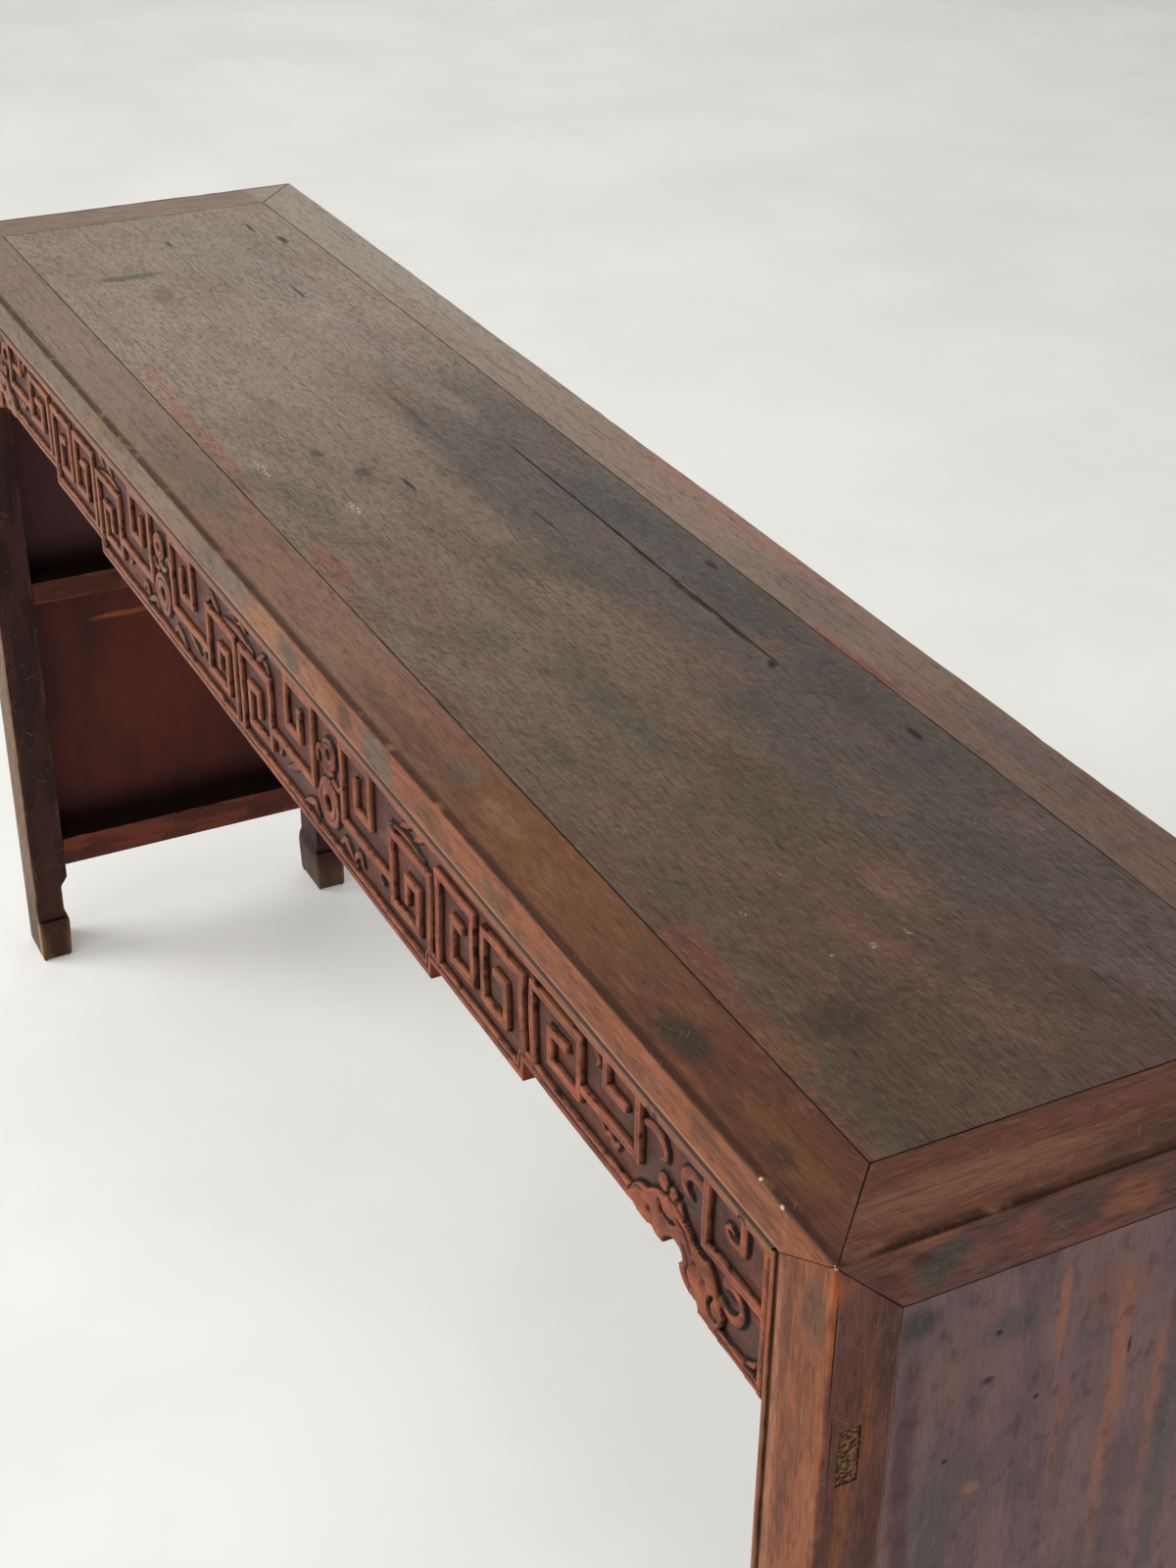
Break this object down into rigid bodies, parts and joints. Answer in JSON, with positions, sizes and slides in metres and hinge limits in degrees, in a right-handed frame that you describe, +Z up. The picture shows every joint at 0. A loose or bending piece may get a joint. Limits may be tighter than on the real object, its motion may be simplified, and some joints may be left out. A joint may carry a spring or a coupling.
{
  "type": "altar table",
  "caption": "Long narrow Chinese altar table with a mitred, boarded top, panelled end frames on stepped feet and a stepped front apron carved with square scrolls and cloud brackets.",
  "frame": {"origin": "on the floor, at the middle of the table's outline", "axes": "+X along the table towards its right end, +Y from the carved front to the back, +Z up"},
  "size_m": [1.7, 0.378, 0.86],
  "materials": {
    "top_lacquer": "worn olive-brown lacquer over wood grain, satin",
    "frame_lacquer": "worn red-brown lacquer, orange at the edges, satin",
    "apron_lacquer": "red-brown lacquer with near-black grounds, satin",
    "panel_lacquer": "dark purple-brown lacquer with worn upright streaks, satin",
    "bare_wood": "bare aged wood, matte"
  },
  "bodies": {
    "root": {"top_rail_front": "top_lacquer", "top_rail_back": "top_lacquer", "top_rail_end_left": "top_lacquer", "top_rail_end_right": "top_lacquer", "top_board_front": "top_lacquer", "top_board_back": "top_lacquer", "top_batten_1": "bare_wood", "top_batten_2": "bare_wood", "top_batten_3": "bare_wood", "top_batten_4": "bare_wood", "leg_front_left": "frame_lacquer", "leg_front_right": "frame_lacquer", "leg_back_left": "frame_lacquer", "leg_back_right": "frame_lacquer", "apron_front": "apron_lacquer", "apron_back": "apron_lacquer", "end_rail_bottom_left": "frame_lacquer", "end_rail_bottom_right": "frame_lacquer", "end_rail_middle_left": "frame_lacquer", "end_rail_middle_right": "frame_lacquer", "end_panel_lower_left": "panel_lacquer", "end_panel_lower_right": "panel_lacquer", "end_panel_upper_left": "panel_lacquer", "end_panel_upper_right": "panel_lacquer", "apron_wedge_left": "bare_wood", "apron_wedge_right": "bare_wood"}
  },
  "joints": []
}
